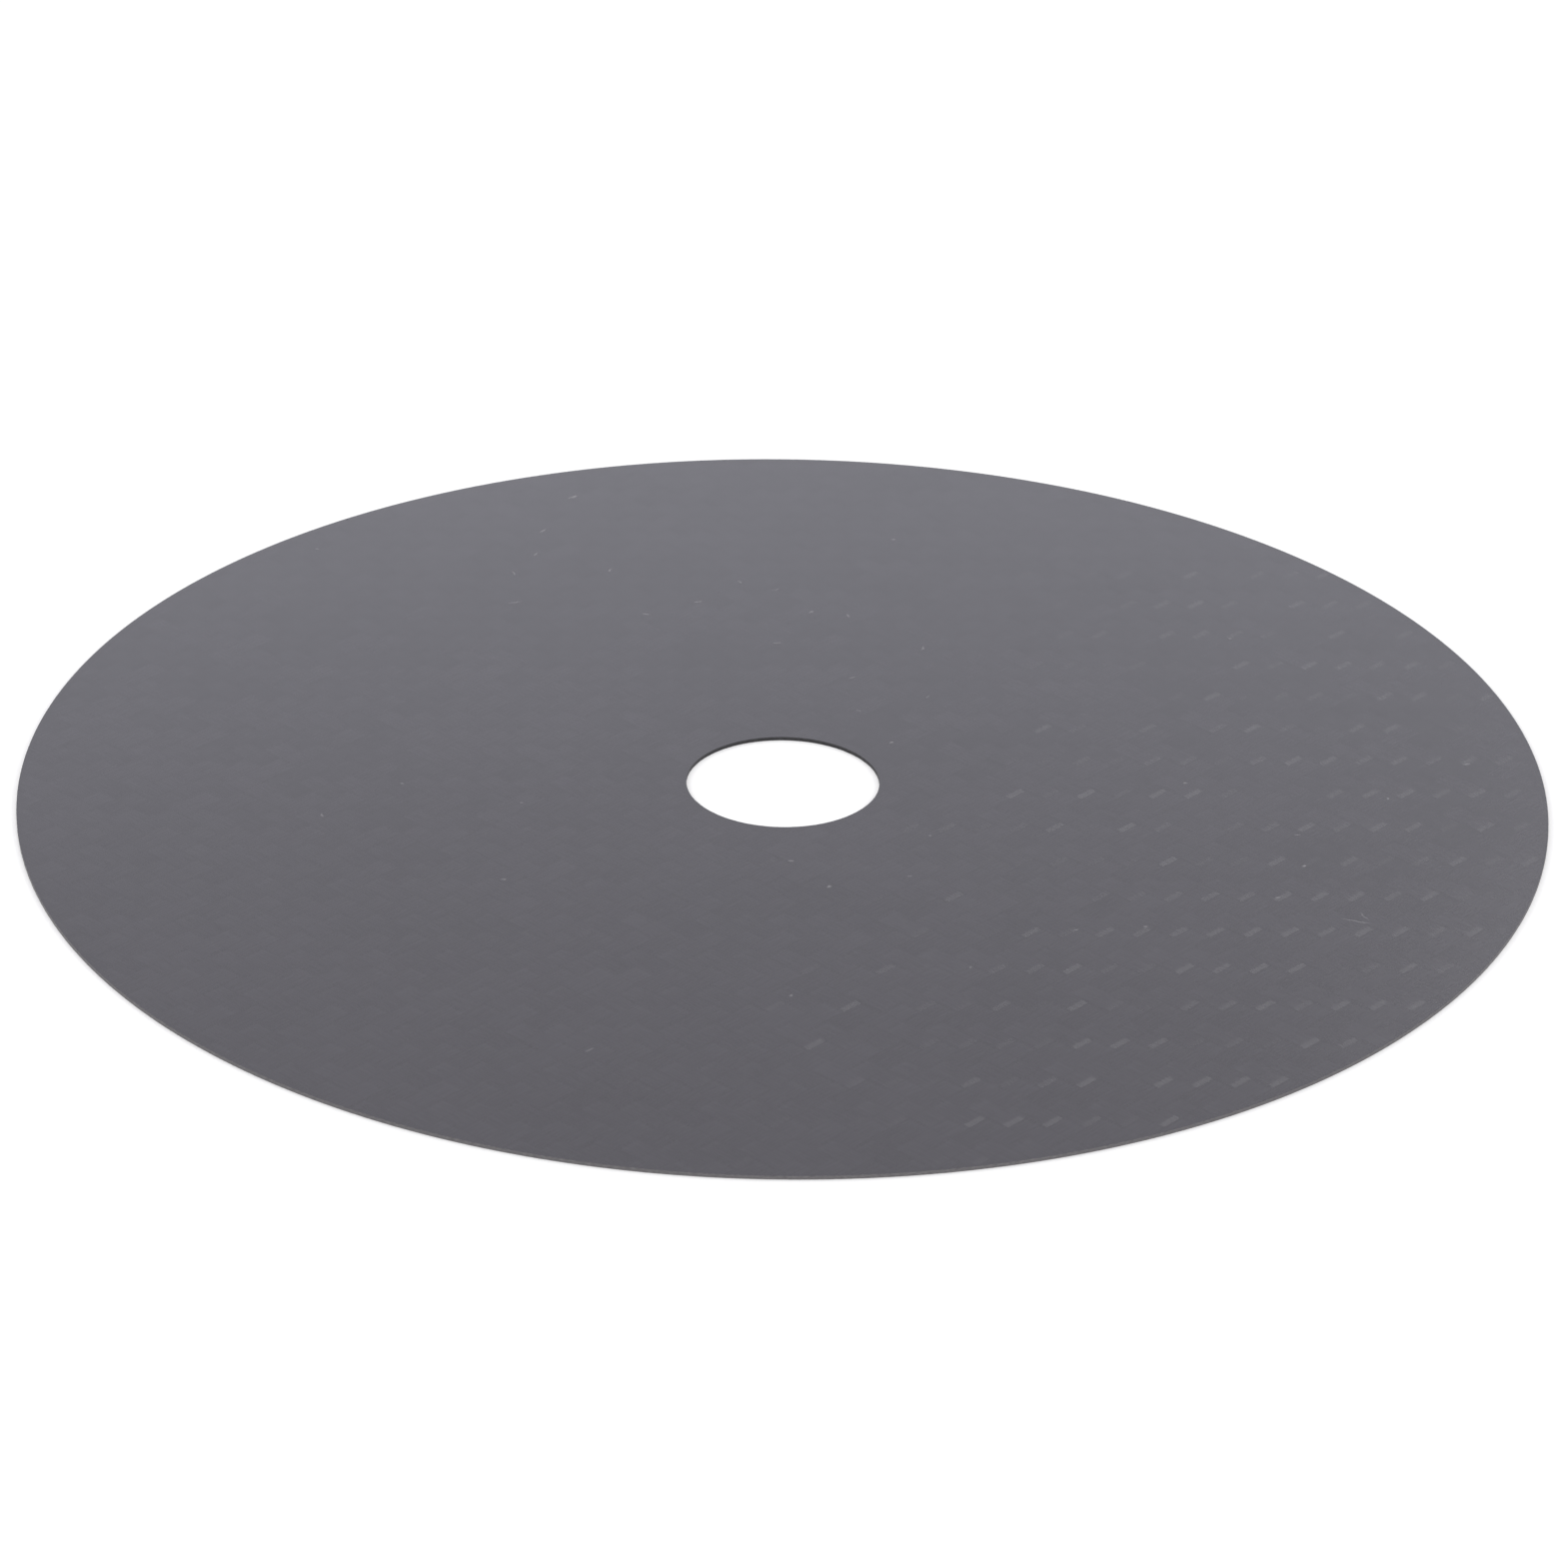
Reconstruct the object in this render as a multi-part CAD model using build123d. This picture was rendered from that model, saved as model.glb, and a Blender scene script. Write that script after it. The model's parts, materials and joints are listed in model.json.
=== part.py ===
from build123d import *
import math
import os

# A thin round mat of woven fibre cloth, cured flat and cut to the size of a compact disc.
# It is one piece. The frame's origin is the centre of the hole on the underside, +Z is up
# through the woven face, and +X runs along the twill line, give or take the cloth's tilt.

# Driving dimensions, in millimetres and degrees
disc_diameter = 120.0
hole_diameter = 15.2
thickness = 0.3
# One fibre bundle and the gap beside it: about five bundles to the centimetre
tow_pitch = 1.98
# Crossings that a bundle passes over, and then under: two and two make a 2 by 2 twill
float_squares = 2
# Fall from a bundle's crown to the valley where it meets its neighbours
weave_relief = 0.04
# Slant of the twill line against +X, as the disc was cut from the cloth
twill_tilt = 1.62
# Where a corner of the cloth's squares lies from the hole's centre, along and across the twill line
corner_along = 0.95
corner_across = -0.17

# The two sets of bundles cross at right angles, each at 45 degrees to the twill line.
crown_height = thickness
valley_height = thickness - weave_relief
first_step = Vector(tow_pitch, 0).rotate(Axis.Z, twill_tilt + 45)
second_step = Vector(tow_pitch, 0).rotate(Axis.Z, twill_tilt + 135)
cloth_corner = Vector(corner_along, corner_across).rotate(Axis.Z, twill_tilt)
float_length = float_squares * tow_pitch


def cloth_point(first, second, height):
    """The point that lies this many squares along the first and the second set of bundles."""
    return cloth_corner + first_step * first + second_step * second + Vector(0, 0, height)


def flat_face(*corners):
    """A plane face inside these corners."""
    return Face(Wire.make_polygon(corners, close=True))


def float_faces(first, second, follows_first):
    """One float, as the four planes of a low pyramid over its squares.

    The eaves lie in the valleys, where they meet the neighbouring floats corner to corner, and
    the tip is the crown, midway along the bundle's rise and fall.
    """

    def at(along, across, height):
        if follows_first:
            return cloth_point(first + along, second + across, height)
        return cloth_point(first + across, second + along, height)

    near_eave = [at(square, 0, valley_height) for square in range(float_squares + 1)]
    far_eave = [at(square, 1, valley_height) for square in range(float_squares + 1)]
    crown = at(float_squares / 2, 1 / 2, crown_height)
    return [
        flat_face(*near_eave, crown),
        flat_face(*far_eave, crown),
        flat_face(near_eave[0], far_eave[0], crown),
        flat_face(near_eave[-1], far_eave[-1], crown),
    ]


def woven_surface():
    """The cloth's upper surface, a little wider than the disc, as one shell.

    The squares on which the two indices add up to a multiple of the repeat start a float of
    the first set, and those half a repeat later start a float of the second set.
    """
    repeat = 2 * float_squares
    reach = disc_diameter / 2 + float_length + tow_pitch
    last_square = math.ceil(reach / tow_pitch) + 1
    squares = range(-last_square, last_square + 1)
    faces = []
    for first in squares:
        for second in squares:
            if cloth_point(first, second, 0).length > reach:
                continue
            phase = (first + second) % repeat
            if phase == 0:
                faces += float_faces(first, second, True)
            if phase == float_squares:
                faces += float_faces(first, second, False)
    return Shell(faces)


def stabilizer_disc():
    """A round blank with its hole, split along the woven surface, of which the lower part stays."""
    outline = Circle(disc_diameter / 2) - Circle(hole_diameter / 2)
    blank = extrude(outline, 2 * thickness)
    return blank.split(woven_surface(), keep=Keep.ALL).sort_by(Axis.Z)[0]


os.makedirs("parts", exist_ok=True)
export_step(stabilizer_disc(), "parts/stabilizer_disc.step", write_pcurves=False)
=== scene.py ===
"""The looks of a thin round mat of woven carbon cloth, cured flat with a satin face.

The mat is one closed mesh that stands for the CAD disc. Its two faces carry the relief of a 2 by 2
twill, in which every bundle of fibres floats over two crossings and dives under the next two. The
rest is the finish of the faces and of the cut edge, a white studio, and the camera. All lengths are in
metres, in the frame of the CAD model: the origin is the centre of the hole on the underside.
"""

import json
import logging
import math
from dataclasses import dataclass, field
from enum import Enum

import bpy
import numpy as np
from mathutils import Matrix, Vector


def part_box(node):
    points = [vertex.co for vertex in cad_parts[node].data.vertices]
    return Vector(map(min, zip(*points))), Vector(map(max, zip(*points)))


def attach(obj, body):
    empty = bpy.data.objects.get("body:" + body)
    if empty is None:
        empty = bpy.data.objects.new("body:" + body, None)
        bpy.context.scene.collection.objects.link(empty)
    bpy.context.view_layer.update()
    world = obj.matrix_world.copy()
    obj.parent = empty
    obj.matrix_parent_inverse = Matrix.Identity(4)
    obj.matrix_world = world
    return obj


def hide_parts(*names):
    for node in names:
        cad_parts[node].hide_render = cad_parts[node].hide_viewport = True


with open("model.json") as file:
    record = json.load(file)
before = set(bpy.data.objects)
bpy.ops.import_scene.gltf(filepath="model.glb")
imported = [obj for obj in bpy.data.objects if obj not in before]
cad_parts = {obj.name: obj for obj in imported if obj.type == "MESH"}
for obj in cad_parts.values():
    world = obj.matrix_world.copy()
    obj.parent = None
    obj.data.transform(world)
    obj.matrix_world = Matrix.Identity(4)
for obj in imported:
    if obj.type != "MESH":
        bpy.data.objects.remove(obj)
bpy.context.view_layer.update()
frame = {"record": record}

LOG = logging.getLogger("mat")
MM = 0.001
NODE = "stabilizer_disc"
FIBRE_MAP = "fibre"
TONE = "float_tone"
SEAM = "seam"


class ClothFace(Enum):
    """The two faces of the cloth. Where one face shows one set of bundles, the other shows the other."""

    UPPER = 0
    LOWER = 1


class CutEdge(Enum):
    """The two cut edges of the mat, by the way that leads into the material, seen from the axis."""

    RIM = -1
    HOLE = 1


@dataclass(frozen=True)
class Floats:
    """The floats that a face shows in an array of squares. Each field has one entry a square.

    Attributes:
        runs_first: True where the float belongs to the first set.
        start_first: the square in which the float starts, counted along the first set.
        start_second: the same, counted along the second set.
    """

    runs_first: np.ndarray
    start_first: np.ndarray
    start_second: np.ndarray

    def places(self, first: np.ndarray, second: np.ndarray) -> tuple[np.ndarray, np.ndarray]:
        """Distances from a float's start and from its left edge, in squares.

        Args:
            first: counts along the first set, one row a square.
            second: counts along the second set, one row a square.

        Returns:
            The distance along the float and the distance across it.
        """
        runs_first = self.runs_first[:, None]
        from_first = first - self.start_first[:, None]
        from_second = second - self.start_second[:, None]
        along = np.where(runs_first, from_first, from_second)
        return along, np.where(runs_first, from_second, from_first)


@dataclass
class TwillCloth:
    """A 2 by 2 twill: two sets of flat bundles that cross at right angles.

    The cloth is divided into squares as wide as a bundle. A square is named by two whole numbers,
    counted along the first and along the second set. The first set lies on the upper face where the
    sum of the two, modulo four, is 0 or 1, and the second set where it is 2 or 3.
    """

    tow_pitch: float = 1.98 * MM
    tilt: float = math.radians(1.62)
    corner_along: float = 0.95 * MM
    corner_across: float = -0.17 * MM
    float_squares: int = 2
    # Grid lines inside a square, in squares: both edges of the bundle and the ends of its slopes
    stations: tuple[float, ...] = (0.06, 0.30, 0.70, 0.94)
    # What is left of a fall at each of the first three stations from a float's end
    profile: tuple[float, ...] = (1.0, 0.25, 0.0)
    fibre_fall: float = 0.063 * MM
    fibre_spread: float = 0.25
    fibre_limits: tuple[float, float] = (0.3, 1.6)
    seed: int = 7
    span: int = 80
    lots: np.ndarray = field(init=False, repr=False)

    def __post_init__(self) -> None:
        """Draws four random numbers for every float of each face."""
        rng = np.random.default_rng(self.seed)
        self.lots = rng.standard_normal((len(ClothFace), self.span, self.span, 4))

    def lines(self, reach: float) -> np.ndarray:
        """The grid lines that cover a disc, in squares.

        Args:
            reach: radius that the lines have to cover, in metres.

        Returns:
            The lines' places, rising, each a whole number of squares plus one of the stations.
        """
        last = math.ceil(reach / self.tow_pitch) + 1
        squares = np.arange(-last, last)
        return (squares[:, None] + np.array(self.stations)[None, :]).ravel()

    def to_plan(self, first: np.ndarray, second: np.ndarray) -> tuple[np.ndarray, np.ndarray]:
        """Turns places on the cloth into places on the mat.

        The first set runs at 45 degrees to the twill line and the second at 135, so along the twill
        line a place is the difference of its two counts, and across it their sum, each times the
        pitch over the root of two. The result is turned by the cloth's tilt.

        Args:
            first: counts along the first set, in squares.
            second: counts along the second set, in squares.

        Returns:
            The x and the y of each place, in metres.
        """
        half = self.tow_pitch / math.sqrt(2)
        along = (first - second) * half + self.corner_along
        across = (first + second) * half + self.corner_across
        cos, sin = math.cos(self.tilt), math.sin(self.tilt)
        return cos * along - sin * across, sin * along + cos * across

    def to_squares(self, x: np.ndarray, y: np.ndarray) -> tuple[np.ndarray, np.ndarray]:
        """The reverse of to_plan.

        Args:
            x: places on the mat, in metres.
            y: the same, along the other axis.

        Returns:
            The counts along the first and the second set, in squares.
        """
        half = self.tow_pitch / math.sqrt(2)
        cos, sin = math.cos(self.tilt), math.sin(self.tilt)
        along = (cos * x + sin * y - self.corner_along) / half
        across = (-sin * x + cos * y - self.corner_across) / half
        return (across + along) / 2, (across - along) / 2

    def floats(self, first: np.ndarray, second: np.ndarray, face: ClothFace) -> Floats:
        """Says which float a face shows in each square.

        Args:
            first: the squares' whole numbers along the first set.
            second: the same, along the second set.
            face: the face that is looked at.

        Returns:
            The floats.
        """
        phase = (first + second) % (2 * self.float_squares)
        runs_first = (phase < self.float_squares) == (face is ClothFace.UPPER)
        step = phase % self.float_squares
        return Floats(
            runs_first=runs_first,
            start_first=first - np.where(runs_first, step, 0),
            start_second=second - np.where(runs_first, 0, step),
        )

    def lot(self, floats: Floats, face: ClothFace, which: int) -> np.ndarray:
        """One of the random numbers of each float."""
        half = self.span // 2
        return self.lots[face.value, floats.start_first + half, floats.start_second + half, which]

    def fall(self, distance: np.ndarray) -> np.ndarray:
        """The share of a fall that is reached at a distance from a float's end, in squares."""
        return np.interp(distance, self.stations[: len(self.profile)], self.profile)

    def fibre_depth(self, floats: Floats, along: np.ndarray, face: ClothFace) -> np.ndarray:
        """How far the fibres lie under the plane of their crowns.

        A float is flat along its middle. Towards each end it falls, first gently and then steeply,
        by its own random share of the full fall.

        Args:
            floats: the floats, one a row.
            along: distances from the floats' starts, in squares, one row a float.
            face: the face that is looked at.

        Returns:
            The depths, in metres.
        """
        low, high = self.fibre_limits
        start = np.clip(1 + self.fibre_spread * self.lot(floats, face, 0), low, high)[:, None]
        end = np.clip(1 + self.fibre_spread * self.lot(floats, face, 1), low, high)[:, None]
        return self.fibre_fall * (start * self.fall(along) + end * self.fall(self.float_squares - along))

    def depth(self, x: np.ndarray, y: np.ndarray, face: ClothFace) -> np.ndarray:
        """How far a face of the cloth lies under the plane of its crowns.

        Args:
            x: places on the mat, in metres.
            y: the same, along the other axis.
            face: the face that is looked at.

        Returns:
            The depth at each place: that of the float in whose square it lies.
        """
        first, second = self.to_squares(x, y)
        floats = self.floats(np.floor(first).astype(int), np.floor(second).astype(int), face)
        along, _ = floats.places(first[:, None], second[:, None])
        return self.fibre_depth(floats, along, face)[:, 0]


@dataclass(frozen=True)
class GridSheet:
    """One face of the mat as a grid of quads, cut to the ring between the hole and the rim.

    Attributes:
        x: place of each vertex, in metres.
        y: the same, along the other axis.
        quads: four vertices for each quad, counter-clockwise seen from above.
        quad_first: grid line number of each quad's first corner, along the first set.
        quad_second: the same, along the second set.
        edges: two vertices for each edge of the sheet, with the sheet on the left.
        free: False for the vertices on a cut edge.
    """

    x: np.ndarray
    y: np.ndarray
    quads: np.ndarray
    quad_first: np.ndarray
    quad_second: np.ndarray
    edges: np.ndarray
    free: np.ndarray


@dataclass
class WovenMat:
    """The mat: two woven faces, the rim and the wall of the hole, in one closed mesh."""

    outer_radius: float
    hole_radius: float
    thickness: float
    cloth: TwillCloth
    # A vertex nearer to a cut edge than this is moved onto it, so that no quad is a sliver
    snap: float = 0.12 * MM
    edge_round: float = 0.012 * MM
    edge_ruffle: float = 0.004 * MM
    # Spread of the random shifts of each float's fibre map, in millimetres
    map_spread: float = 40.0

    def build(self, name: str) -> bpy.types.Object:
        """Makes the mesh and its maps.

        Args:
            name: name of the object.

        Returns:
            The object, at the origin, with its place in its mesh.
        """
        sheet = self._sheet()
        count = len(sheet.x)
        upper = self.thickness - sheet.free * self.cloth.depth(sheet.x, sheet.y, ClothFace.UPPER)
        lower = sheet.free * self.cloth.depth(sheet.x, sheet.y, ClothFace.LOWER)
        wall_points, wall_quads, wall_map = self._wall(sheet, upper, lower)
        points = np.concatenate([
            np.stack([sheet.x, sheet.y, upper], axis=1),
            np.stack([sheet.x, sheet.y, lower], axis=1),
            wall_points,
        ])
        quads = np.concatenate([sheet.quads, sheet.quads[:, ::-1] + count, wall_quads])
        mesh = self._fill(name, points, quads)
        faces = len(sheet.quads)
        is_wall = np.arange(len(quads)) >= 2 * faces
        middle_radius = np.hypot(*points[quads, :2].mean(axis=1).T)
        at_hole = is_wall & self._near_hole(middle_radius)
        mesh.polygons.foreach_set("material_index", is_wall.astype(np.int32) + at_hole)
        self._write_maps(mesh, sheet, wall_map)
        mesh.normals_split_custom_set(self._skin_normals(points[quads], faces, at_hole))
        obj = bpy.data.objects.new(name, mesh)
        bpy.context.scene.collection.objects.link(obj)
        return obj

    def _near_hole(self, radius: np.ndarray) -> np.ndarray:
        """True for the radii that are nearer to the hole than to the rim."""
        return radius < (self.hole_radius + self.outer_radius) / 2

    def _sheet(self) -> GridSheet:
        """Cuts the cloth's grid to the ring.

        The grid's two parameters are the counts along the two sets. Each vertex outside the ring, or
        nearer to its edge than the snap distance, is moved radially onto that edge, less the
        rounding. A quad stays where at least one of its corners was inside.

        Returns:
            The sheet.
        """
        lines = self.cloth.lines(self.outer_radius)
        first, second = np.meshgrid(lines, lines, indexing="ij")
        x, y = self.cloth.to_plan(first, second)
        radius = np.hypot(x, y)
        near_hole = self._near_hole(radius)
        inside = (radius > self.hole_radius + self.snap) & (radius < self.outer_radius - self.snap)
        edge = np.where(near_hole, self.hole_radius + self.edge_round, self.outer_radius - self.edge_round)
        pull = np.where(inside, 1.0, edge / np.maximum(radius, self.snap))
        kept = inside[:-1, :-1] | inside[1:, :-1] | inside[:-1, 1:] | inside[1:, 1:]
        row, column = np.nonzero(kept)
        number = np.arange(first.size).reshape(first.shape)
        quads = np.stack([
            number[row, column],
            number[row + 1, column],
            number[row + 1, column + 1],
            number[row, column + 1],
        ], axis=1)
        used, flat_quads = np.unique(quads, return_inverse=True)
        renumber = np.full(first.size, -1)
        renumber[used] = np.arange(len(used))
        return GridSheet(
            x=(x * pull).ravel()[used],
            y=(y * pull).ravel()[used],
            quads=flat_quads.reshape(quads.shape),
            quad_first=row,
            quad_second=column,
            edges=renumber[self._open_edges(kept, number)],
            free=inside.ravel()[used],
        )

    def _open_edges(self, kept: np.ndarray, number: np.ndarray) -> np.ndarray:
        """The sides of kept quads that no other kept quad shares.

        Args:
            kept: True for each quad of the grid that stays.
            number: the vertices' numbers on the grid.

        Returns:
            Two vertex numbers for each such side, with the kept quad on its left.
        """
        wide = np.pad(kept, 1)
        sides = (
            (wide[1:-1, :-2], (0, 0), (1, 0)),
            (wide[2:, 1:-1], (1, 0), (1, 1)),
            (wide[1:-1, 2:], (1, 1), (0, 1)),
            (wide[:-2, 1:-1], (0, 1), (0, 0)),
        )
        found = []
        for neighbour, begin, finish in sides:
            row, column = np.nonzero(kept & ~neighbour)
            found.append(np.stack([
                number[row + begin[0], column + begin[1]],
                number[row + finish[0], column + finish[1]],
            ], axis=1))
        return np.concatenate(found)

    def _wall(
        self, sheet: GridSheet, upper: np.ndarray, lower: np.ndarray
    ) -> tuple[np.ndarray, np.ndarray, np.ndarray]:
        """Joins the two faces along the rim and the hole.

        A profile is carried along each open edge: from the upper face's vertex, set back by the
        rounding, out to the full radius, down the cut with a slight random ruffle, and back to the
        lower face's vertex.

        Args:
            sheet: the cut grid.
            upper: height of each of its vertices on the upper face.
            lower: height of each of its vertices on the lower face.

        Returns:
            The new vertices, the quads, and two map coordinates for each corner of the quads.
        """
        count = len(sheet.x)
        around = np.unique(sheet.edges)
        place = np.full(count, -1)
        place[around] = np.arange(len(around))
        radius = np.hypot(sheet.x[around], sheet.y[around])
        at_hole = self._near_hole(radius)
        into = np.where(at_hole, CutEdge.HOLE.value, CutEdge.RIM.value)
        full = np.where(at_hole, self.hole_radius, self.outer_radius)
        rng = np.random.default_rng(self.cloth.seed + 1)
        ruffle = np.abs(rng.standard_normal((3, len(around)))) * self.edge_ruffle
        ruffle = np.minimum(ruffle, self.edge_round)
        top, bottom = upper[around], lower[around]
        heights = np.stack([top - self.edge_round, (top + bottom) / 2, bottom + self.edge_round])
        radii = full + into * ruffle
        points = np.stack([
            sheet.x[around] / radius * radii,
            sheet.y[around] / radius * radii,
            heights,
        ], axis=-1).reshape(-1, 3)
        rows = 2 * count + np.arange(3)[:, None] * len(around) + np.arange(len(around))
        levels = np.concatenate([around[None], rows, around[None] + count])
        begin, finish = place[sheet.edges[:, 0]], place[sheet.edges[:, 1]]
        quads = np.stack([
            levels[:-1, begin],
            levels[1:, begin],
            levels[1:, finish],
            levels[:-1, finish],
        ], axis=-1).reshape(-1, 4)
        angle = np.arctan2(sheet.y[around], sheet.x[around])
        turn = np.abs(angle[finish] - angle[begin])
        past_end = angle[begin] + np.sign(angle[begin]) * (2 * math.pi - turn)
        later = np.where(turn > math.pi, past_end, angle[finish])
        run = np.stack([angle[begin], angle[begin], later, later], axis=-1) * full[begin, None]
        drop = np.concatenate([top[None], heights, bottom[None]])
        height = np.stack([
            drop[:-1, begin],
            drop[1:, begin],
            drop[1:, finish],
            drop[:-1, finish],
        ], axis=-1)
        around_map = np.broadcast_to(run, height.shape)
        return points, quads, np.stack([around_map, height], axis=-1).reshape(-1, 2) / MM

    def _fill(self, name: str, points: np.ndarray, quads: np.ndarray) -> bpy.types.Mesh:
        """Puts vertices and quads into a new mesh.

        Args:
            name: name of the mesh.
            points: places of the vertices.
            quads: four vertices for each quad.

        Returns:
            The mesh.
        """
        mesh = bpy.data.meshes.new(name)
        mesh.vertices.add(len(points))
        mesh.vertices.foreach_set("co", points.astype(np.float32).ravel())
        mesh.loops.add(quads.size)
        mesh.loops.foreach_set("vertex_index", quads.astype(np.int32).ravel())
        mesh.polygons.add(len(quads))
        mesh.polygons.foreach_set("loop_start", np.arange(0, quads.size, 4, dtype=np.int32))
        mesh.update(calc_edges=True)
        mesh.validate()
        return mesh

    def _write_maps(self, mesh: bpy.types.Mesh, sheet: GridSheet, wall_map: np.ndarray) -> None:
        """Writes the fibre map, each float's tone and the seams between bundles.

        On the faces the fibre map's first coordinate runs across the bundle and its second along
        it, in millimetres, and each float is shifted by its own random amounts. On the cut edge they
        run around the edge and up it.

        Args:
            mesh: the mat's mesh.
            sheet: the cut grid.
            wall_map: map coordinates of the cut edge's corners.
        """
        lines = np.floor(self.cloth.lines(self.outer_radius)).astype(int)
        stations = len(self.cloth.stations)
        pitch = self.cloth.tow_pitch / MM
        past_last = [count % stations == stations - 1 for count in (sheet.quad_first, sheet.quad_second)]
        seam = past_last[0] | past_last[1]
        seam |= ~sheet.free[sheet.quads].all(axis=1)
        maps, tones = [], []
        for face in ClothFace:
            quads = sheet.quads if face is ClothFace.UPPER else sheet.quads[:, ::-1]
            floats = self.cloth.floats(lines[sheet.quad_first], lines[sheet.quad_second], face)
            along, across = floats.places(*self.cloth.to_squares(sheet.x[quads], sheet.y[quads]))
            lots = [self.cloth.lot(floats, face, 2), self.cloth.lot(floats, face, 3)]
            shift = self.map_spread * np.stack(lots, axis=-1)
            maps.append(np.stack([across, along], axis=-1) * pitch + shift[:, None])
            tones.append(np.clip(self.cloth.lot(floats, face, 2) / 2, -1, 1))
        wall_faces = len(mesh.polygons) - 2 * len(sheet.quads)
        fibre_map = np.concatenate([*[m.reshape(-1, 2) for m in maps], wall_map])
        layer = mesh.uv_layers.new(name=FIBRE_MAP)
        layer.data.foreach_set("uv", fibre_map.astype(np.float32).ravel())
        self._write(mesh, TONE, tones, wall_faces)
        self._write(mesh, SEAM, [seam, seam], wall_faces)

    def _skin_normals(self, corners: np.ndarray, faces: int, at_hole: np.ndarray) -> np.ndarray:
        """The way that the even gloss faces at each corner of each quad.

        It takes the place of the facets' own normals. A clear skin of resin shines evenly over the
        cloth, so the upper face shines straight up and the lower face straight down. The cut shines
        away from the axis, and in the hole towards it.

        Args:
            corners: places of the quads' corners.
            faces: how many quads each face has.
            at_hole: True for the quads in the wall of the hole.

        Returns:
            One unit vector for each corner.
        """
        normals = np.zeros_like(corners)
        normals[:faces, :, 2] = 1
        normals[faces : 2 * faces, :, 2] = -1
        cut = corners[2 * faces :, :, :2]
        away = np.where(at_hole[2 * faces :], -1, 1)[:, None, None]
        normals[2 * faces :, :, :2] = away * cut / np.linalg.norm(cut, axis=2, keepdims=True)
        return normals.reshape(-1, 3)

    def _write(self, mesh: bpy.types.Mesh, name: str, parts: list[np.ndarray], spare: int) -> None:
        """Writes one number for each quad of the mesh.

        Args:
            mesh: the mat's mesh.
            name: name of the attribute.
            parts: its values on the two faces.
            spare: how many zeros the cut edge takes after them.
        """
        values = np.concatenate([*parts, np.zeros(spare)])
        mesh.attributes.new(name, "FLOAT", "FACE").data.foreach_set("value", values.astype(np.float32))


class NodeTree:
    """Short ways to add and join shader nodes."""

    def __init__(self, tree: bpy.types.NodeTree) -> None:
        """Empties a node tree and keeps it."""
        self.tree = tree
        tree.nodes.clear()

    def add(self, kind: str, **settings: object) -> bpy.types.Node:
        """Adds a node.

        Args:
            kind: the node's type without the word ShaderNode.
            settings: values of its own properties.

        Returns:
            The node.
        """
        node = self.tree.nodes.new("ShaderNode" + kind)
        for name, value in settings.items():
            setattr(node, name, value)
        return node

    def put(self, socket: bpy.types.NodeSocket, value: object) -> None:
        """Joins an input to an output socket, or sets it to a plain value."""
        if isinstance(value, bpy.types.NodeSocket):
            self.tree.links.new(value, socket)
        else:
            socket.default_value = value

    def math(self, operation: str, *values: object) -> bpy.types.NodeSocket:
        """Adds a Math node.

        Args:
            operation: what it works out.
            values: sockets or numbers, in the order of its inputs.

        Returns:
            The result.
        """
        node = self.add("Math", operation=operation)
        for socket, value in zip(node.inputs, values):
            self.put(socket, value)
        return node.outputs[0]

    def blend(self, factor: object, low: object, high: object, kind: str = "Color") -> bpy.types.NodeSocket:
        """Mixes two values.

        Args:
            factor: 0 for the first value and 1 for the second.
            low: the first value.
            high: the second value.
            kind: Color or Vector.

        Returns:
            The mixture.
        """
        node = self.add("Mix", data_type="RGBA" if kind == "Color" else "VECTOR")
        for name, value in (("Factor_Float", factor), (f"A_{kind}", low), (f"B_{kind}", high)):
            self.put(next(s for s in node.inputs if s.identifier == name), value)
        return next(s for s in node.outputs if s.identifier == f"Result_{kind}")

    def ramp(
        self, value: object, low: float, high: float, to_low: float = 0.0, to_high: float = 1.0
    ) -> bpy.types.NodeSocket:
        """Maps a value from one range to another in a smooth step, and holds it at the ends.

        Args:
            value: the value.
            low: where the step begins.
            high: where it ends.
            to_low: the result up to its beginning.
            to_high: the result from its end on.

        Returns:
            The result.
        """
        node = self.add("MapRange", interpolation_type="SMOOTHSTEP")
        for socket, number in zip(node.inputs, (value, low, high, to_low, to_high)):
            self.put(socket, number)
        return node.outputs[0]

    def noise(self, vector: bpy.types.NodeSocket, scale: float, detail: float) -> bpy.types.NodeSocket:
        """Adds a noise texture.

        Args:
            vector: the coordinates that it reads.
            scale: how many waves it has to a unit.
            detail: how many finer layers it has.

        Returns:
            Its factor.
        """
        node = self.add("TexNoise")
        self.put(node.inputs["Vector"], vector)
        self.put(node.inputs["Scale"], scale)
        self.put(node.inputs["Detail"], detail)
        return node.outputs["Fac"]


@dataclass(frozen=True)
class ScuffAndGlintMark:
    """A short pale mark on the upper face: real scratches and specks, and painted glints of fibres.

    Lengths are in millimetres.

    Attributes:
        x: place of its middle.
        y: the same, along the other axis.
        length: from end to end.
        width: at its widest.
        turn: its slant against +X, in degrees.
        strength: how far it takes the surface towards the pale colour, up to 1.
    """

    x: float
    y: float
    length: float
    width: float
    turn: float
    strength: float


# Pale marks on the upper face: real scratches and specks, and painted glints of fibres near floats' ends
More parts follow.
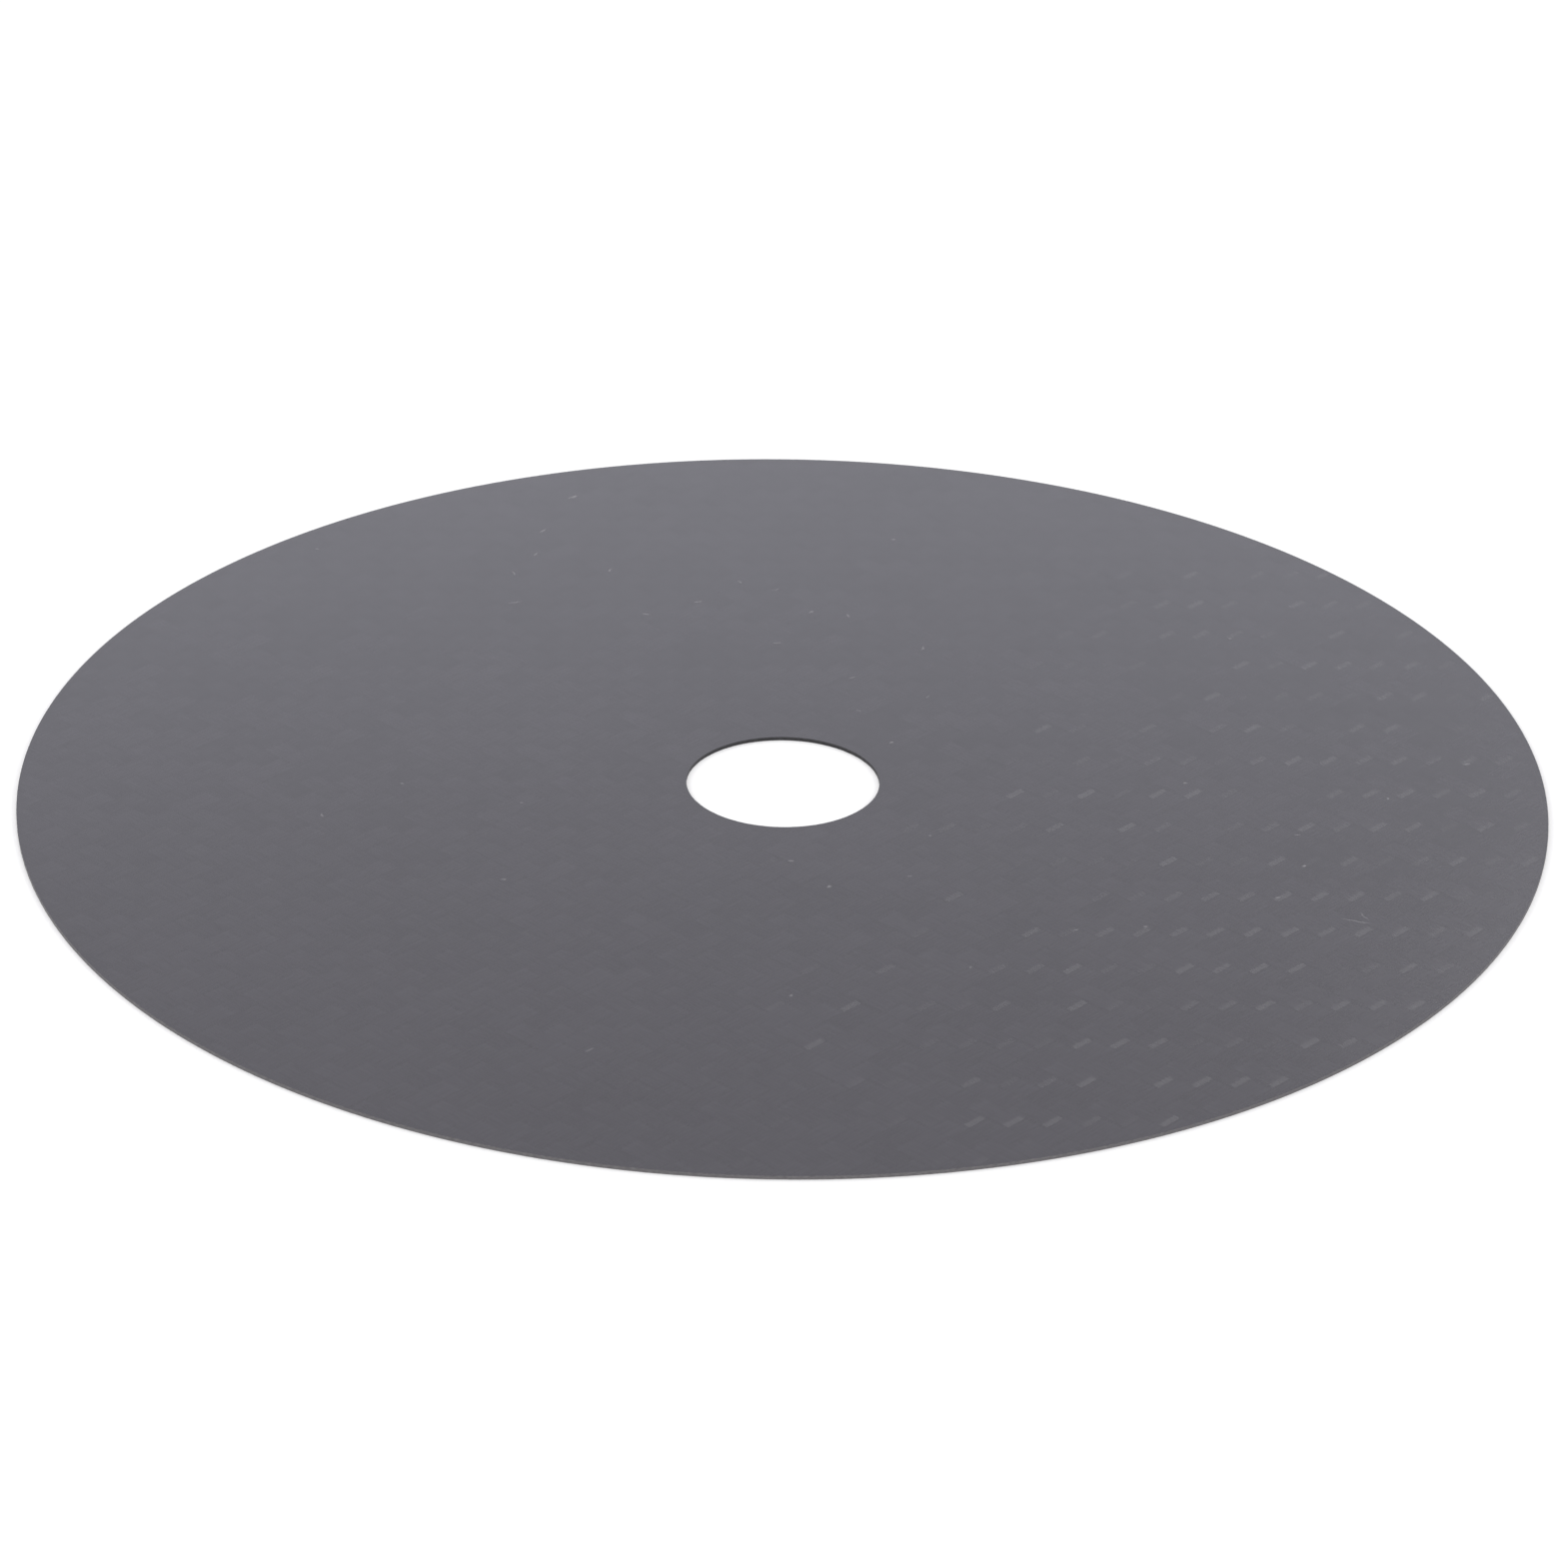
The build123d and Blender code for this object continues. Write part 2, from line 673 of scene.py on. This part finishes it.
SCUFFS_AND_GLINTS = (
    ScuffAndGlintMark(-18.3, 51.8, 1.3, 0.35, 40, 0.5),
    ScuffAndGlintMark(-20.6, 45.1, 1.2, 0.30, 60, 0.4),
    ScuffAndGlintMark(-21.0, 40.5, 0.8, 0.30, 75, 0.4),
    ScuffAndGlintMark(-22.7, 36.8, 0.9, 0.25, 110, 0.4),
    ScuffAndGlintMark(-22.4, 31.3, 1.4, 0.25, 20, 0.4),
    ScuffAndGlintMark(-14.7, 37.6, 0.9, 0.25, 70, 0.4),
    ScuffAndGlintMark(-0.8, 34.4, 0.8, 0.25, 30, 0.35),
    ScuffAndGlintMark(-3.8, 35.7, 0.7, 0.25, 140, 0.35),
    ScuffAndGlintMark(-7.2, 31.9, 1.0, 0.25, 15, 0.35),
    ScuffAndGlintMark(-11.5, 29.4, 0.8, 0.25, 160, 0.4),
    ScuffAndGlintMark(2.2, 30.2, 0.8, 0.25, 45, 0.4),
    ScuffAndGlintMark(5.2, 29.6, 0.8, 0.25, 120, 0.4),
    ScuffAndGlintMark(-0.6, 24.4, 0.9, 0.25, 5, 0.35),
    ScuffAndGlintMark(11.3, 23.8, 0.9, 0.25, 80, 0.35),
    ScuffAndGlintMark(5.5, 18.3, 0.7, 0.20, 30, 0.3),
    ScuffAndGlintMark(6.0, 12.4, 0.7, 0.20, 150, 0.3),
    ScuffAndGlintMark(11.6, 15.0, 0.6, 0.20, 60, 0.3),
    ScuffAndGlintMark(-29.9, -1.1, 0.5, 0.25, 0, 0.35),
    ScuffAndGlintMark(-21.3, -16.6, 0.5, 0.25, 0, 0.35),
    ScuffAndGlintMark(9.8, -15.3, 0.6, 0.25, 20, 0.35),
    ScuffAndGlintMark(43.7, -21.6, 3.0, 0.22, -18, 0.35),
    ScuffAndGlintMark(44.3, -20.8, 1.6, 0.20, -62, 0.25),
    ScuffAndGlintMark(-13.9, -42.5, 1.2, 0.30, 45, 0.2),
    ScuffAndGlintMark(31.7, 0.6, 0.6, 0.35, 30, 0.5),
    ScuffAndGlintMark(9.1, 44.2, 0.5, 0.35, 0, 0.4),
    ScuffAndGlintMark(54.2, 4.5, 0.7, 0.35, 15, 0.4),
    ScuffAndGlintMark(3.6, -17.2, 0.5, 0.40, 60, 0.45),
    ScuffAndGlintMark(8.6, 7.0, 0.4, 0.30, 0, 0.6),
    ScuffAndGlintMark(47.5, -1.6, 0.4, 0.30, 80, 0.4),
    ScuffAndGlintMark(37.9, -18.0, 0.6, 0.30, 35, 0.35),
    ScuffAndGlintMark(-39.4, 41.1, 0.4, 0.30, 0, 0.35),
    ScuffAndGlintMark(-35.8, -6.6, 0.9, 0.25, 100, 0.35),
    ScuffAndGlintMark(0.7, -13.1, 0.7, 0.25, 0, 0.35),
    ScuffAndGlintMark(27.6, -22.8, 0.4, 0.30, 0, 0.35),
    ScuffAndGlintMark(36.6, 26.3, 0.4, 0.25, 0, 0.35),
    ScuffAndGlintMark(0.8, -34.1, 0.6, 0.30, 50, 0.3),
    ScuffAndGlintMark(11.5, -8.7, 0.4, 0.20, 0, 0.4),
    ScuffAndGlintMark(22.3, -23.4, 0.5, 0.30, 20, 0.3),
    ScuffAndGlintMark(-20.4, -4.1, 0.4, 0.25, 0, 0.3),
    ScuffAndGlintMark(14.2, -29.4, 0.6, 0.30, 60, 0.3),
    ScuffAndGlintMark(40.0, -7.8, 0.5, 0.25, 0, 0.5),
    ScuffAndGlintMark(40.2, -12.8, 0.5, 0.30, 0, 0.6),
)


@dataclass(frozen=True)
class LaminateFinish:
    """Satin cured carbon cloth: dark fibres under a thin skin of clear resin."""

    dark: tuple[float, float, float, float] = (0.0309, 0.0284, 0.0347, 1.0)
    light: tuple[float, float, float, float] = (0.0469, 0.0435, 0.0522, 1.0)
    # Colour of the marks: of the scratches and specks, and of the painted fibre glints
    pale: tuple[float, float, float, float] = (0.30, 0.29, 0.29, 1.0)
    roughness: float = 0.16
    roughness_spread: float = 0.03
    refraction: float = 1.5
    fibre_share: float = 0.045
    fibre_roughness: float = 0.18
    fibre_refraction: float = 2.4
    # Streaks along the fibres, in waves to the millimetre
    streak_across: float = 9.0
    streak_along: float = 0.45
    streak_detail: float = 4.0
    bump_height: float = 0.0006 * MM
    # Broad clouds of tone, in waves to the metre
    cloud_scale: float = 45.0
    cloud_detail: float = 2.0
    # What each float's tone, the clouds and the seams add to the streaks, and the range that counts
    tone_share: float = 0.10
    cloud_share: float = 0.30
    seam_share: float = -0.08
    shade_range: tuple[float, float] = (0.25, 1.05)
    mark_roughness: float = 0.25
    # Noise that makes the marks ragged, and the slab at the upper face that they lie in
    ragged_scale: float = 2500.0
    ragged_reach: float = 0.35 * MM
    mark_height: float = 0.3 * MM
    mark_depth: float = 0.2 * MM
    mark_core: float = 0.3

    def make(self, marks: tuple[ScuffAndGlintMark, ...]) -> bpy.types.Material:
        """Builds the material.

        Args:
            marks: the pale marks on the upper face: scratches and specks, and painted glints of fibres.

        Returns:
            The material.
        """
        material = bpy.data.materials.new("satin_laminate")
        material.use_nodes = True
        nodes = NodeTree(material.node_tree)
        fibre = nodes.add("UVMap", uv_map=FIBRE_MAP).outputs["UV"]
        place = nodes.add("TexCoord").outputs["Object"]
        stretch = nodes.add("Mapping")
        nodes.put(stretch.inputs["Vector"], fibre)
        nodes.put(stretch.inputs["Scale"], (self.streak_across, self.streak_along, 1.0))
        streak = nodes.noise(stretch.outputs["Vector"], 1.0, self.streak_detail)
        cloud = nodes.noise(place, self.cloud_scale, self.cloud_detail)
        tone = nodes.add("Attribute", attribute_name=TONE).outputs["Fac"]
        seam = nodes.add("Attribute", attribute_name=SEAM).outputs["Fac"]
        shade = nodes.math("MULTIPLY_ADD", tone, self.tone_share, streak)
        shade = nodes.math("MULTIPLY_ADD", cloud, self.cloud_share, shade)
        shade = nodes.math("MULTIPLY_ADD", seam, self.seam_share, shade)
        shade = nodes.ramp(shade, *self.shade_range)
        # Mask of the pale marks: scratches and specks, and painted glints of fibres
        mark = self._scuff_and_glint_mask(nodes, place, marks)
        colour = nodes.blend(mark, nodes.blend(shade, self.dark, self.light), self.pale)
        smoothest = self.roughness - self.roughness_spread / 2
        rough = nodes.math("MULTIPLY_ADD", streak, self.roughness_spread, smoothest)
        rough = nodes.math("MULTIPLY_ADD", mark, self.mark_roughness, rough)
        bump = nodes.add("Bump")
        nodes.put(bump.inputs["Height"], streak)
        nodes.put(bump.inputs["Distance"], self.bump_height)
        nodes.put(bump.inputs["Strength"], 1.0)
        shape = nodes.add("NewGeometry").outputs
        facing = nodes.blend(seam, shape["True Normal"], shape["Normal"], "Vector")
        shader = nodes.add("BsdfPrincipled")
        nodes.put(shader.inputs["Base Color"], colour)
        nodes.put(shader.inputs["Roughness"], rough)
        nodes.put(shader.inputs["IOR"], self.refraction)
        nodes.put(shader.inputs["Normal"], bump.outputs["Normal"])
        nodes.put(shader.inputs["Coat Weight"], self.fibre_share)
        nodes.put(shader.inputs["Coat Roughness"], self.fibre_roughness)
        nodes.put(shader.inputs["Coat IOR"], self.fibre_refraction)
        nodes.put(shader.inputs["Coat Normal"], facing)
        output = nodes.add("OutputMaterial")
        nodes.put(output.inputs["Surface"], shader.outputs["BSDF"])
        return material

    def _scuff_and_glint_mask(
        self, nodes: NodeTree, place: bpy.types.NodeSocket, marks: tuple[ScuffAndGlintMark, ...]
    ) -> bpy.types.NodeSocket:
        """Draws the marks: scratches and specks, and painted glints of fibres.

        Each mark is an ellipse with a soft edge, and noise shifts every place a little first, so
        that its outline is ragged.

        Args:
            nodes: the material's nodes.
            place: the place on the mat.
            marks: the marks.

        Returns:
            Each mark's strength in its middle, and 0 outside the marks.
        """
        wander = nodes.add("TexNoise")
        nodes.put(wander.inputs["Vector"], place)
        nodes.put(wander.inputs["Scale"], self.ragged_scale)
        centred = nodes.add("VectorMath", operation="SUBTRACT")
        nodes.put(centred.inputs[0], wander.outputs["Color"])
        nodes.put(centred.inputs[1], (0.5, 0.5, 0.5))
        shifted = nodes.add("VectorMath", operation="MULTIPLY_ADD")
        nodes.put(shifted.inputs[0], centred.outputs[0])
        nodes.put(shifted.inputs[1], (self.ragged_reach, self.ragged_reach, 0.0))
        nodes.put(shifted.inputs[2], place)
        mask: object = 0.0
        for mark in marks:
            local = nodes.add("Mapping", vector_type="TEXTURE")
            nodes.put(local.inputs["Vector"], shifted.outputs[0])
            nodes.put(local.inputs["Location"], (mark.x * MM, mark.y * MM, self.mark_height))
            nodes.put(local.inputs["Rotation"], (0.0, 0.0, math.radians(mark.turn)))
            size = (mark.length / 2 * MM, mark.width / 2 * MM, self.mark_depth)
            nodes.put(local.inputs["Scale"], size)
            reach = nodes.add("VectorMath", operation="LENGTH")
            nodes.put(reach.inputs[0], local.outputs["Vector"])
            ring = nodes.ramp(reach.outputs["Value"], self.mark_core, 1.0, mark.strength, 0.0)
            mask = nodes.math("MAXIMUM", mask, ring)
        return mask


@dataclass(frozen=True)
class CutEdgeFinish:
    """A cut through the laminate: matt, with fibre ends in fine bands."""

    name: str
    dark: tuple[float, float, float, float]
    light: tuple[float, float, float, float]
    roughness: float = 0.6
    # Bands of fibre ends, in waves to the millimetre around the edge and up it
    band_around: float = 2.5
    band_up: float = 18.0
    band_detail: float = 3.0
    band_range: tuple[float, float] = (0.35, 0.7)

    def make(self) -> bpy.types.Material:
        """Builds the material.

        Returns:
            The material.
        """
        material = bpy.data.materials.new(self.name)
        material.use_nodes = True
        nodes = NodeTree(material.node_tree)
        around = nodes.add("UVMap", uv_map=FIBRE_MAP).outputs["UV"]
        stretch = nodes.add("Mapping")
        nodes.put(stretch.inputs["Vector"], around)
        nodes.put(stretch.inputs["Scale"], (self.band_around, self.band_up, 1.0))
        band = nodes.noise(stretch.outputs["Vector"], 1.0, self.band_detail)
        shade = nodes.ramp(band, *self.band_range)
        shader = nodes.add("BsdfPrincipled")
        nodes.put(shader.inputs["Base Color"], nodes.blend(shade, self.dark, self.light))
        nodes.put(shader.inputs["Roughness"], self.roughness)
        output = nodes.add("OutputMaterial")
        nodes.put(output.inputs["Surface"], shader.outputs["BSDF"])
        return material


SANDED_RIM = CutEdgeFinish("sanded_rim", (0.105, 0.10, 0.102, 1.0), (0.18, 0.172, 0.172, 1.0))
# The wall of the hole is the same cut as the rim, painted far darker: painted shade for the shadow inside
# the hole
HOLE_WALL_PAINTED_SHADE = CutEdgeFinish("hole_wall_painted_shade", (0.010, 0.010, 0.011, 1.0), (0.040, 0.038, 0.040, 1.0))


@dataclass(frozen=True)
class SoftLamp:
    """A rectangular soft lamp that looks at the middle of the mat.

    Attributes:
        name: name of the lamp.
        azimuth: direction it stands in, in degrees from +Y towards +X.
        elevation: height above the horizon, in degrees.
        distance: from the middle of the mat.
        width: its level side.
        height: its other side.
        brightness: radiance of its face, where 1 is white.
    """

    name: str
    azimuth: float
    elevation: float
    distance: float
    width: float
    height: float
    brightness: float

    def place(self) -> None:
        """Adds the lamp to the scene."""
        light = bpy.data.lights.new(self.name, "AREA")
        light.shape = "RECTANGLE"
        light.size = self.width
        light.size_y = self.height
        light.energy = self.brightness * math.pi * self.width * self.height
        lamp = bpy.data.objects.new(self.name, light)
        turn, rise = math.radians(self.azimuth), math.radians(self.elevation)
        toward = Vector((math.sin(turn) * math.cos(rise), math.cos(turn) * math.cos(rise), math.sin(rise)))
        lamp.location = toward * self.distance
        lamp.rotation_euler = toward.to_track_quat("Z", "Y").to_euler()
        bpy.context.scene.collection.objects.link(lamp)


@dataclass(frozen=True)
class WhiteStudio:
    """A white floor under a white dome with a brighter band low down, and soft lamps all round.

    Heights on the dome are sines of the angle above the horizon.
    """

    floor_half: float = 1.5
    floor_drop: float = 0.01 * MM
    floor_colour: tuple[float, float, float, float] = (0.90, 0.90, 0.87, 1.0)
    floor_lift: float = 0.18
    low: tuple[float, float, float, float] = (0.94, 0.945, 0.99, 1.0)
    band: tuple[float, float, float, float] = (1.52, 1.54, 1.69, 1.0)
    overhead: tuple[float, float, float, float] = (0.84, 0.83, 0.885, 1.0)
    zenith: tuple[float, float, float, float] = (0.50, 0.495, 0.53, 1.0)
    band_rises: tuple[float, float] = (0.302, 0.397)
    band_falls: tuple[float, float] = (0.41, 0.48)
    overhead_falls: tuple[float, float] = (0.60, 0.78)
    side_gain: float = 0.42
    side_limits: tuple[float, float] = (-0.03, 0.12)
    lamps: tuple[SoftLamp, ...] = (
        SoftLamp("back_lamp", 14.0, 45.0, 1.3, 0.12, 0.60, 4.9),
        SoftLamp("right_lamp", 102.0, 37.0, 1.3, 0.22, 0.22, 9.0),
        SoftLamp("front_lamp", 192.0, 37.0, 1.3, 0.22, 0.22, 9.0),
        SoftLamp("left_lamp", 282.0, 37.0, 1.3, 0.22, 0.22, 9.0),
        SoftLamp("overhead_lamp", 135.0, 76.0, 1.3, 0.29, 0.29, 5.0),
    )

    def build(self) -> None:
        """Adds the floor, the dome and the lamps."""
        self._floor()
        self._dome()
        for lamp in self.lamps:
            lamp.place()
            LOG.info("lamp %s at %.0f, %.0f degrees", lamp.name, lamp.azimuth, lamp.elevation)

    def _floor(self) -> None:
        """A flat white square just under the mat.

        To the camera it glows a little on top of the light that it reflects, so that it comes out
        white and still shows the mat's shadow.
        """
        half = self.floor_half
        mesh = bpy.data.meshes.new("floor")
        corners = [(-half, -half), (half, -half), (half, half), (-half, half)]
        mesh.from_pydata([(x, y, -self.floor_drop) for x, y in corners], [], [(0, 1, 2, 3)])
        floor = bpy.data.objects.new("floor", mesh)
        bpy.context.scene.collection.objects.link(floor)
        material = bpy.data.materials.new("white_floor")
        material.use_nodes = True
        nodes = NodeTree(material.node_tree)
        paint = nodes.add("BsdfDiffuse")
        nodes.put(paint.inputs["Color"], self.floor_colour)
        glow = nodes.add("Emission")
        rays = nodes.add("LightPath").outputs
        seen = nodes.math("MAXIMUM", rays["Is Camera Ray"], rays["Is Glossy Ray"])
        seen = nodes.math("MAXIMUM", seen, rays["Is Transmission Ray"])
        nodes.put(glow.inputs["Strength"], nodes.math("MULTIPLY", seen, self.floor_lift))
        both = nodes.add("AddShader")
        nodes.put(both.inputs[0], paint.outputs["BSDF"])
        nodes.put(both.inputs[1], glow.outputs["Emission"])
        output = nodes.add("OutputMaterial")
        nodes.put(output.inputs["Surface"], both.outputs["Shader"])
        mesh.materials.append(material)

    def _dome(self) -> None:
        """The world: the band between the low and the overhead colour, darker again at the zenith.

        It is brighter to the left and darker to the right, which evens out the back lamp's sheen.
        """
        world = bpy.data.worlds.new("dome")
        world.use_nodes = True
        bpy.context.scene.world = world
        nodes = NodeTree(world.node_tree)
        direction = nodes.add("SeparateXYZ")
        nodes.put(direction.inputs["Vector"], nodes.add("TexCoord").outputs["Generated"])
        height = direction.outputs["Z"]
        rise = nodes.ramp(height, *self.band_rises)
        fall = nodes.ramp(height, *self.band_falls)
        top = nodes.ramp(height, *self.overhead_falls)
        colour = nodes.blend(fall, nodes.blend(rise, self.low, self.band), self.overhead)
        colour = nodes.blend(top, colour, self.zenith)
        aside = nodes.math("MULTIPLY", direction.outputs["X"], -1.0)
        darkest, brightest = self.side_limits
        aside = nodes.math("MINIMUM", nodes.math("MAXIMUM", aside, darkest), brightest)
        light = nodes.add("Background")
        nodes.put(light.inputs["Color"], colour)
        nodes.put(light.inputs["Strength"], nodes.math("MULTIPLY_ADD", aside, self.side_gain, 1.0))
        output = nodes.add("OutputWorld")
        nodes.put(output.inputs["Surface"], light.outputs["Background"])


@dataclass(frozen=True)
class ViewCamera:
    """The camera, as it was worked out from the outlines of the disc and the hole."""

    lens: float = 153.53
    sensor: float = 36.0
    distance: float = 526.48 * MM
    elevation: float = math.radians(27.763)
    roll: float = math.radians(0.726)
    aim: tuple[float, float, float] = (0.088 * MM, 0.143 * MM, 0.0)
    nearest: float = 0.01
    farthest: float = 10.0

    def place(self) -> None:
        """Adds the camera and makes it the scene's."""
        data = bpy.data.cameras.new("camera")
        data.lens = self.lens
        data.sensor_width = self.sensor
        data.clip_start = self.nearest
        data.clip_end = self.farthest
        camera = bpy.data.objects.new("camera", data)
        eye = Vector((0.0, -math.cos(self.elevation), math.sin(self.elevation))) * self.distance
        forward = (Vector(self.aim) - eye).normalized()
        level = forward.cross(Vector((0.0, 0.0, 1.0))).normalized()
        upright = level.cross(forward)
        right = level * math.cos(self.roll) + upright * math.sin(self.roll)
        up = upright * math.cos(self.roll) - level * math.sin(self.roll)
        turn = Matrix((right, up, -forward)).transposed()
        camera.matrix_world = Matrix.Translation(eye) @ turn.to_4x4()
        bpy.context.scene.collection.objects.link(camera)
        bpy.context.scene.camera = camera


def mat_from_frame() -> WovenMat:
    """Takes the mat's radii and thickness from the CAD model.

    Returns:
        The mat.
    """
    low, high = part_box(NODE)
    hole = next(m for m in frame["record"]["mounts"] if m["name"] == "centre_hole")
    return WovenMat(
        outer_radius=(high[0] - low[0]) / 2,
        hole_radius=hole["dims"]["r_mm"] * MM,
        thickness=high[2] - low[2],
        cloth=TwillCloth(),
    )


def main() -> None:
    """Builds the mat, the studio and the camera."""
    logging.basicConfig(level=logging.INFO, format="%(name)s: %(message)s")
    bpy.context.scene.view_settings.view_transform = "Standard"
    mat = mat_from_frame()
    disc = mat.build("woven_disc")
    disc.data.materials.append(LaminateFinish().make(SCUFFS_AND_GLINTS))
    disc.data.materials.append(SANDED_RIM.make())
    disc.data.materials.append(HOLE_WALL_PAINTED_SHADE.make())
    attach(disc, "root")
    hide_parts(NODE)
    LOG.info("woven disc: %d quads, %d vertices", len(disc.data.polygons), len(disc.data.vertices))
    WhiteStudio().build()
    ViewCamera().place()
    LOG.info("camera placed")


if __name__ == "__main__":
    main()
